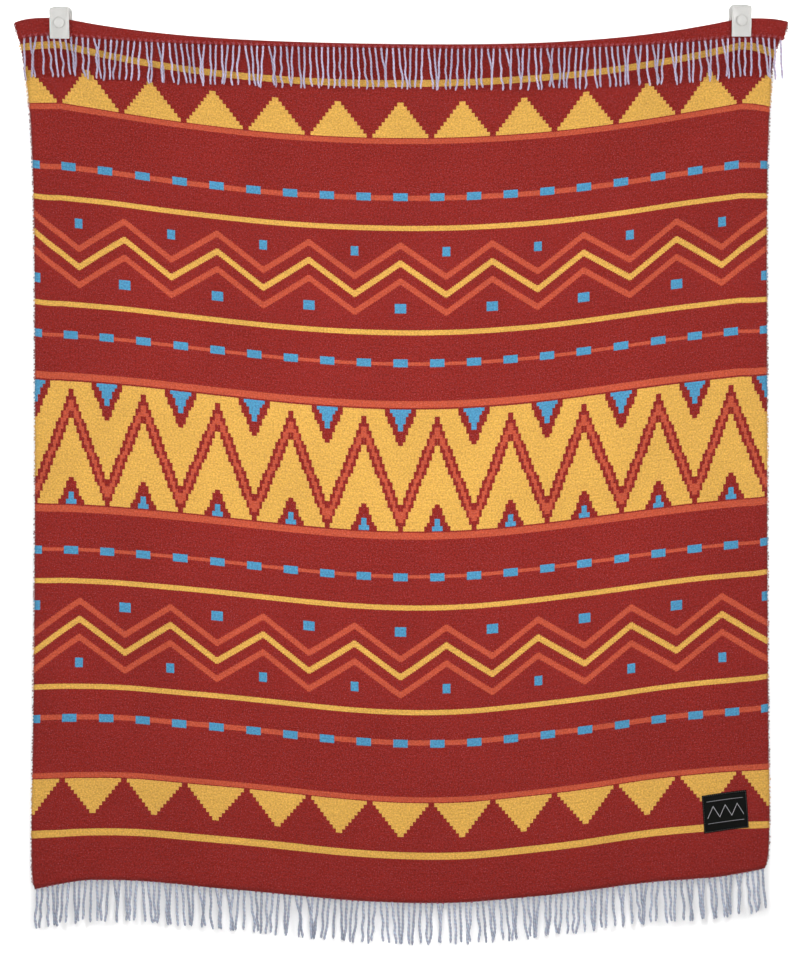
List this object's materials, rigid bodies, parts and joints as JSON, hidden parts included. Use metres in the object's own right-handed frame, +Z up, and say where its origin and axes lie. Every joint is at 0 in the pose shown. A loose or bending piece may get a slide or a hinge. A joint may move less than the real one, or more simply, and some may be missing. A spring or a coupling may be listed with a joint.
{
  "type": "throw blanket with hanging clips",
  "caption": "Fringed woven throw blanket with a folded-over top hem, hung on a wall from spring clips near its top corners.",
  "frame": {"origin": "on the wall behind the blanket, half-way between the middles of the clips' wall faces", "axes": "+X to the right across the blanket, +Y into the wall, +Z up; the front of the blanket faces -Y"},
  "size_m": [1.3345, 0.0258, 1.6247],
  "materials": {
    "woven_cloth": "brushed jacquard-woven blanket cloth, deep red with gold, coral and blue",
    "fringe_yarn": "twisted pale lavender-grey warp yarn",
    "label_tape": "black woven label tape",
    "clip_plastic": "white moulded plastic, satin"
  },
  "bodies": {
    "root": {"cloth": "woven_cloth", "fringe_top": "fringe_yarn", "fringe_bottom": "fringe_yarn", "label": "label_tape", "clip_left_base": "clip_plastic", "clip_left_barrel": "clip_plastic", "clip_left_leaf": "clip_plastic", "clip_left_button": "clip_plastic", "clip_right_base": "clip_plastic", "clip_right_barrel": "clip_plastic", "clip_right_leaf": "clip_plastic", "clip_right_button": "clip_plastic"}
  },
  "joints": []
}
